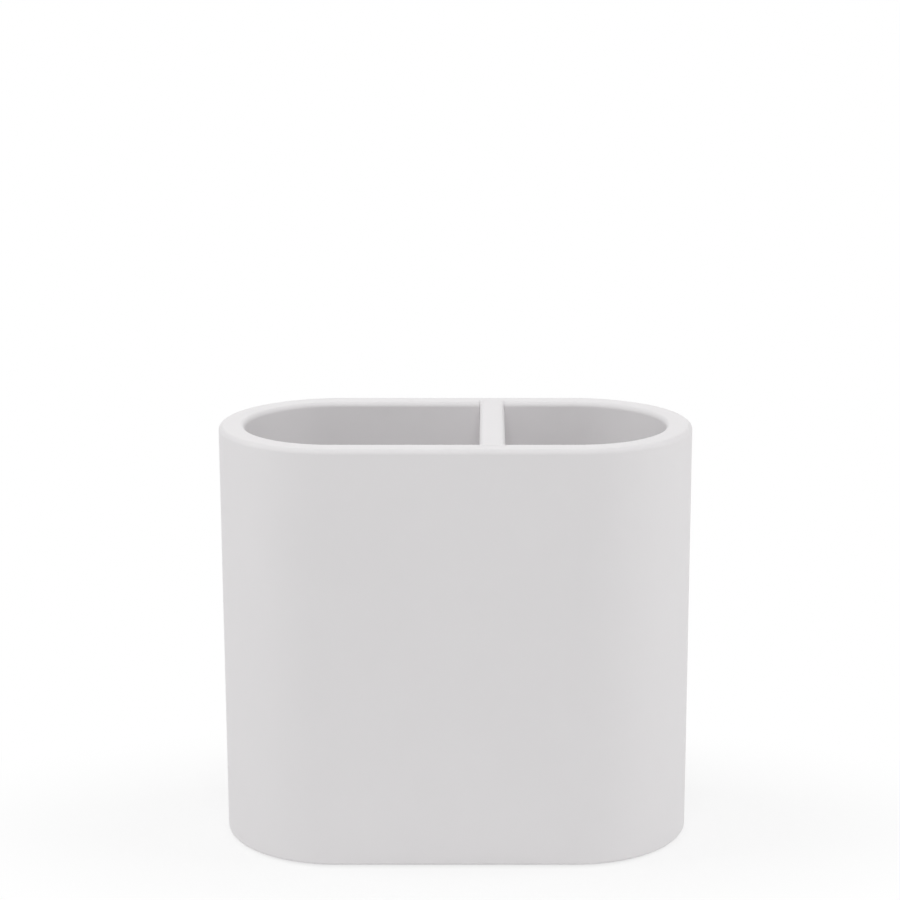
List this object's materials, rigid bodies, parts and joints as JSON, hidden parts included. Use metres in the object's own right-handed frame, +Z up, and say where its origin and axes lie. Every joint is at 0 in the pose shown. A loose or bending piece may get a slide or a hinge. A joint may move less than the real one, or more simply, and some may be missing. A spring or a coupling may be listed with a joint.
{
  "type": "toothbrush holder",
  "caption": "Thick-walled matte white toothbrush holder with full-round ends, a lift-out divider between its unequal compartments, and anti-slip pads under its base.",
  "frame": {"origin": "on the surface that the pads stand on, under the centre of the cup's plan", "axes": "+X along the cup's length, towards the smaller compartment; +Y to the back; +Z up"},
  "size_m": [0.11, 0.0544, 0.0994],
  "materials": {
    "cast_resin": "matte",
    "pad_rubber": "matte",
    "pad_adhesive": "matte"
  },
  "bodies": {
    "cup": {"cup_body": "cast_resin", "foot_pad_front_left": "pad_rubber", "foot_pad_front_right": "pad_rubber", "foot_pad_rear_left": "pad_rubber", "foot_pad_rear_right": "pad_rubber", "adhesive_disc_front_left": "pad_adhesive", "adhesive_disc_front_right": "pad_adhesive", "adhesive_disc_rear_left": "pad_adhesive", "adhesive_disc_rear_right": "pad_adhesive"},
    "divider": {"divider": "cast_resin"}
  },
  "joints": [
    {"name": "divider_lift", "type": "slide", "parent": "cup", "child": "divider", "axis": [0, 0, 1], "range_m": [0, 0.09]}
  ]
}
